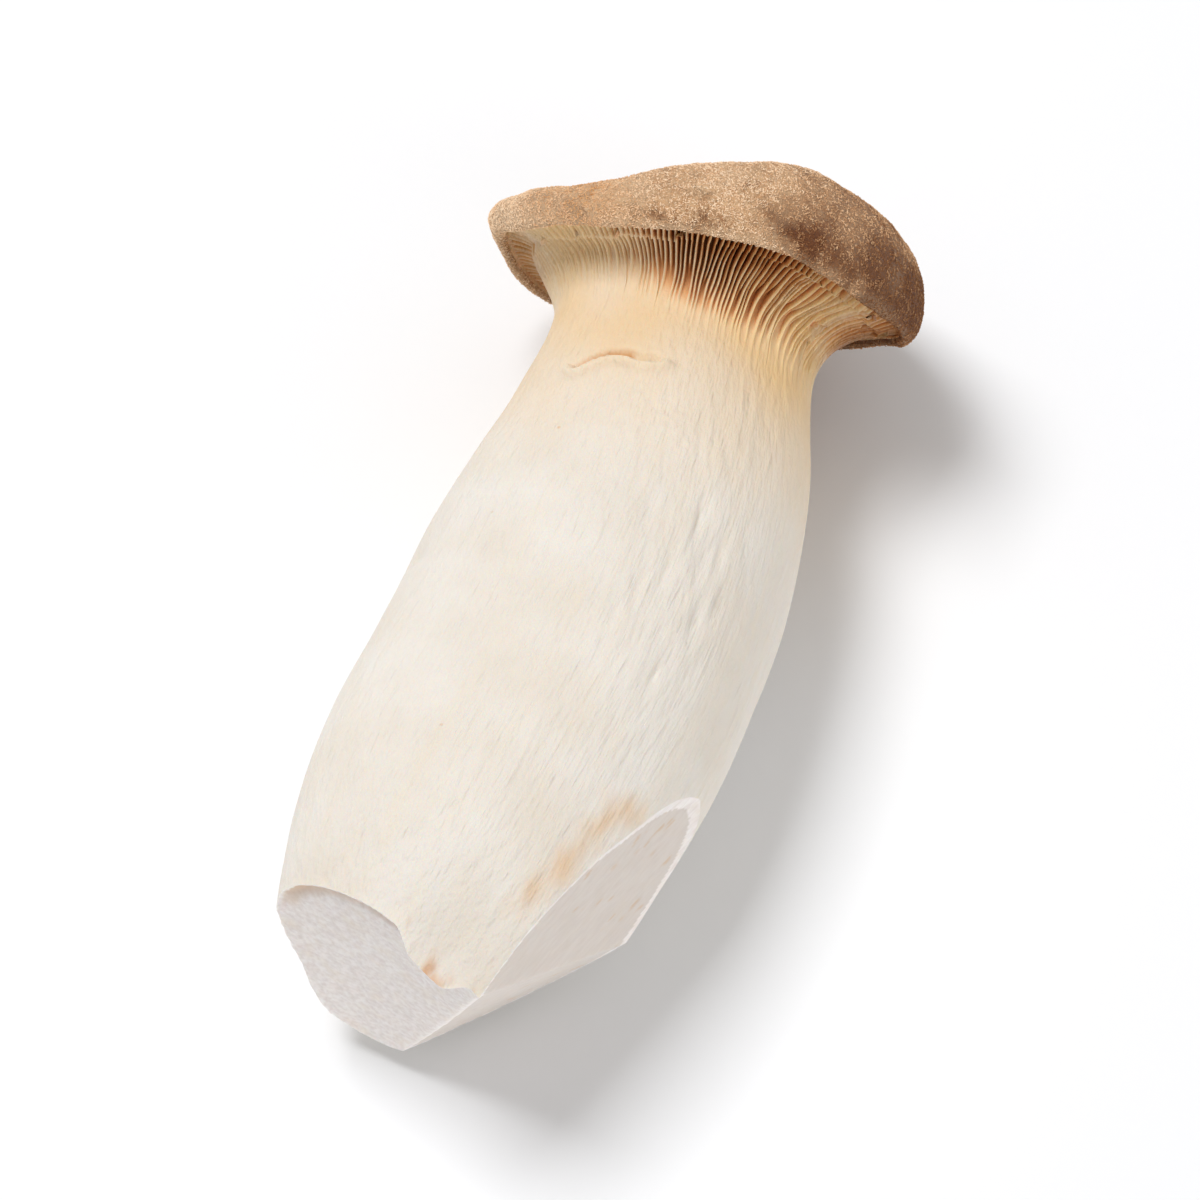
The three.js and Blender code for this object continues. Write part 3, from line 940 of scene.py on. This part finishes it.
def rest_flat(piece):
    """Presses the skin flat where it lies."""
    places = coordinates(piece)
    places[:, 2] = np.maximum(places[:, 2], 0)
    set_coordinates(piece, places)


def triangle_corners(piece, finish):
    """The corners of a piece's triangles that have one finish."""
    mesh = piece.data
    mesh.calc_loop_triangles()
    corners = read(mesh.loop_triangles, "vertices", 3, int)
    faces = read(mesh.loop_triangles, "polygon_index", kind=int)
    finishes = read(mesh.polygons, "material_index", kind=int)
    return corners[finishes[faces] == finish]


# ---- felt


def felt_fibrils(body, look, part):
    """A share of the cap's fibrils, each a bent spike that lies on the felt."""
    random = np.random.default_rng(700 + part)
    corners = triangle_corners(body, FELT)
    places = coordinates(body)
    normals = vertex_normals(body)
    a, b, c = (places[corners[:, i]] for i in range(3))
    areas = np.linalg.norm(np.cross(b - a, c - a), axis=1)
    count = look.fibril_count // FELT_PIECES
    chosen = random.choice(len(corners), count, p=areas / areas.sum())
    u, v = random.random(count), random.random(count)
    fold = u + v > 1
    u[fold], v[fold] = 1 - u[fold], 1 - v[fold]
    root = a[chosen] + (b - a)[chosen] * u[:, None] + (c - a)[chosen] * v[:, None]
    normal = normals[corners[chosen]].mean(axis=1)
    normal /= np.linalg.norm(normal, axis=1)[:, None]
    heading = random.normal(size=(count, 3))
    heading -= normal * (heading * normal).sum(axis=1)[:, None]
    heading /= np.linalg.norm(heading, axis=1)[:, None]
    sideways = np.cross(normal, heading)
    tuft = wavy(root / MM, (0.5, 0.5, 0.5)) + 0.5 * wavy(root / MM + 33, (1.5, 1.5, 1.5))
    length = random.uniform(0.5, 1.0, count)[:, None] * look.fibril_length
    width = random.uniform(0.07, 0.12, count)[:, None] * MM
    root = root + normal * (np.clip(tuft, -0.5, 0.8) * 0.14 * MM)[:, None]
    curl = random.uniform(-0.5, 0.5, count)[:, None]
    rise = random.uniform(0.04, 0.2, count)[:, None]
    middle = root + heading * length * 0.5 + normal * length * rise * 0.9 + sideways * length * curl * 0.25
    tip = root + heading * length * 0.9 + normal * length * rise * 0.4 + sideways * length * curl
    points = np.empty((count, 7, 3))
    for k in range(3):
        turn = TURN * k / 3
        ring = sideways * math.cos(turn) + normal * math.sin(turn)
        points[:, k] = root - normal * 0.06 * MM + ring * width
        points[:, 3 + k] = middle + ring * width * 0.75
    points[:, 6] = tip
    shape = [(0, 2, 1)]
    for k in range(3):
        after = (k + 1) % 3
        shape += [(k, after, 3 + after, 3 + k), (3 + k, 3 + after, 6)]
    dark, pale, golden = (stored(body, name)[corners[chosen, 0]] for name in ("dark", "pale", "golden"))
    tones = (random.normal(0.93, 0.08, count) + 0.45 * tuft) * (1 - 0.7 * dark)
    tones = np.clip(tones + 0.15 * tuft * dark + 0.2 * pale, 0.03, 1)
    # Darker at the root and paler at the tip.
    tone = tones[:, None] * np.array([0.75] * 3 + [1.0] * 3 + [1.15])
    faces = []
    for index in range(count):
        base = index * 7
        faces += [tuple(base + corner for corner in face) for face in shape]
    piece = new_piece(f"felt_{part + 1}", points.reshape(-1, 3), faces)
    store(piece, "tone", np.clip(tone, 0, 1).ravel())
    store(piece, "golden", np.repeat(golden, 7))
    return piece


# ---- sizes and colours a user would change


class MushroomLook(bpy.types.PropertyGroup):
    gill_count: bpy.props.IntProperty(
        name="Gills", description="How many gills stand round the cap's edge, in fifties", default=200, min=50)
    gill_depth: bpy.props.FloatProperty(
        name="Gill depth", description="How deep the valleys between gills are at the cap's edge",
        default=1.9 * MM, subtype="DISTANCE", unit="LENGTH")
    fibril_count: bpy.props.IntProperty(
        name="Fibrils", description="How many fibrils make up the cap's felt", default=72000)
    fibril_length: bpy.props.FloatProperty(
        name="Fibril length", description="Length of the longest fibrils", default=0.55 * MM,
        subtype="DISTANCE", unit="LENGTH")
    skin_colour: bpy.props.FloatVectorProperty(
        name="Skin", description="Colour of the stem's skin", default=colour("#E2DACE")[:3], subtype="COLOR")
    felt_colour: bpy.props.FloatVectorProperty(
        name="Felt", description="Colour of the cap's felt", default=colour("#CB9E74")[:3], subtype="COLOR")


class MushroomStage(bpy.types.PropertyGroup):
    floor_size: bpy.props.FloatProperty(
        name="Floor", description="Width of the floor", default=6.0, subtype="DISTANCE", unit="LENGTH")
    view_point: bpy.props.FloatVectorProperty(
        name="View point", description="The point the camera looks at", default=(0.0079, -0.0046, 0.0303),
        subtype="XYZ", unit="LENGTH")
    view_distance: bpy.props.FloatProperty(
        name="View distance", description="Distance from the camera to the view point", default=0.636,
        subtype="DISTANCE", unit="LENGTH")
    view_azimuth: bpy.props.FloatProperty(
        name="Azimuth", description="Direction the camera looks in, seen from above",
        default=math.radians(25.85), subtype="ANGLE")
    view_elevation: bpy.props.FloatProperty(
        name="Elevation", description="How steeply the camera looks down", default=math.radians(62),
        subtype="ANGLE")
    view_angle: bpy.props.FloatProperty(
        name="View angle", description="How wide the camera sees", default=math.radians(15), subtype="ANGLE")


class MUSHROOM_OT_body(bpy.types.Operator):
    """Grow the mushroom's skin, trim its foot and lay it down"""

    bl_idname = "mushroom.body"
    bl_label = "Body"

    def execute(self, context):
        look = context.scene.mushroom_look
        piece, gill_shade = grow_skin(look)
        materials = [skin_material(look), felt_material(look), cut_material()]
        for material in materials:
            piece.data.materials.append(material)
        shape_skin(piece)
        pattern = coordinates(piece)
        trim_foot(piece, materials)
        soften_creases(piece)
        rest_flat(piece)
        keep_in_box(piece)
        mark_skin(piece, pattern, gill_shade)
        mark_felt(piece)
        only_selected(piece)
        bpy.ops.object.shade_smooth_by_angle(angle=CREASE_ANGLE)
        finish_piece(piece)
        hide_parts(NODE)
        return {"FINISHED"}


class MUSHROOM_OT_felt(bpy.types.Operator):
    """Cover the cap with felt fibrils"""

    bl_idname = "mushroom.felt"
    bl_label = "Felt"

    def execute(self, context):
        look = context.scene.mushroom_look
        body = bpy.data.objects["mushroom_body"]
        material = fibril_material()
        for part in range(FELT_PIECES):
            piece = felt_fibrils(body, look, part)
            piece.data.materials.append(material)
            keep_in_box(piece)
            finish_piece(piece)
        return {"FINISHED"}


class MUSHROOM_OT_stage(bpy.types.Operator):
    """Set up the floor, the lights and the camera"""

    bl_idname = "mushroom.stage"
    bl_label = "Stage"

    def execute(self, context):
        stage = context.scene.mushroom_stage
        middle = Vector(stage.view_point)

        bpy.ops.object.select_all(action="DESELECT")
        bpy.ops.mesh.primitive_plane_add(size=stage.floor_size, location=(0, 0, -FLOOR_DROP))
        floor = context.object
        floor.name = "floor"
        paper, tree = new_material("white paper sweep")
        shader = add_node(tree, "BsdfPrincipled", {
            "Base Color": colour("#F8FAFD"), "Roughness": 0.9, "Specular IOR Level": 0.1})
        add_node(tree, "OutputMaterial", {"Surface": shader.outputs[0]})
        floor.data.materials.append(paper)

        azimuth, elevation = stage.view_azimuth, stage.view_elevation
        level = math.cos(elevation)
        looking = Vector((-math.sin(azimuth) * level, math.cos(azimuth) * level, -math.sin(elevation)))
        bpy.ops.object.camera_add(
            location=middle - looking * stage.view_distance,
            rotation=looking.to_track_quat("-Z", "Y").to_euler())
        camera = context.object
        camera.name = "camera"
        camera.data.angle = stage.view_angle
        camera.data.clip_start = 0.01
        context.scene.camera = camera

        right = Vector((math.cos(azimuth), math.sin(azimuth), 0))
        ahead = Vector((-math.sin(azimuth), math.cos(azimuth), 0))
        for name, direction, size, power in (
            ("key", -0.4 * right + 0.26 * ahead + 1.15 * Vector((0, 0, 1)), 0.42, 8.2),
            ("fill", 0.8 * right - 0.8 * ahead + 0.24 * Vector((0, 0, 1)), 0.8, 4.2),
        ):
            direction = direction.normalized()
            bpy.ops.object.light_add(
                type="AREA", location=middle + direction * LIGHT_DISTANCE,
                rotation=direction.to_track_quat("Z", "Y").to_euler())
            light = context.object
            light.name = name
            light.data.size = size
            light.data.energy = power

        world = bpy.data.worlds.new("bright room")
        world.use_nodes = True
        context.scene.world = world
        background = world.node_tree.nodes["Background"]
        background.inputs["Color"].default_value = ROOM_TONE
        background.inputs["Strength"].default_value = ROOM_STRENGTH
        context.scene.view_settings.view_transform = "Standard"
        return {"FINISHED"}


class MUSHROOM_PT_panel(bpy.types.Panel):
    bl_idname = "MUSHROOM_PT_panel"
    bl_label = "King oyster mushroom"
    bl_space_type = "VIEW_3D"
    bl_region_type = "UI"
    bl_category = "Mushroom"

    def draw(self, context):
        layout = self.layout
        for operator, settings in (
            (MUSHROOM_OT_body, context.scene.mushroom_look),
            (MUSHROOM_OT_felt, None),
            (MUSHROOM_OT_stage, context.scene.mushroom_stage),
        ):
            layout.operator(operator.bl_idname)
            if settings:
                for name in settings.bl_rna.properties.keys()[2:]:
                    layout.prop(settings, name)


CLASSES = (
    MushroomLook, MushroomStage, MUSHROOM_OT_body, MUSHROOM_OT_felt, MUSHROOM_OT_stage, MUSHROOM_PT_panel)


def register():
    for item in CLASSES:
        bpy.utils.register_class(item)
    bpy.types.Scene.mushroom_look = bpy.props.PointerProperty(type=MushroomLook)
    bpy.types.Scene.mushroom_stage = bpy.props.PointerProperty(type=MushroomStage)


def unregister():
    del bpy.types.Scene.mushroom_stage
    del bpy.types.Scene.mushroom_look
    for item in reversed(CLASSES):
        bpy.utils.unregister_class(item)


def main():
    register()
    bpy.ops.mushroom.body()
    bpy.ops.mushroom.felt()
    bpy.ops.mushroom.stage()


if __name__ == "__main__":
    main()
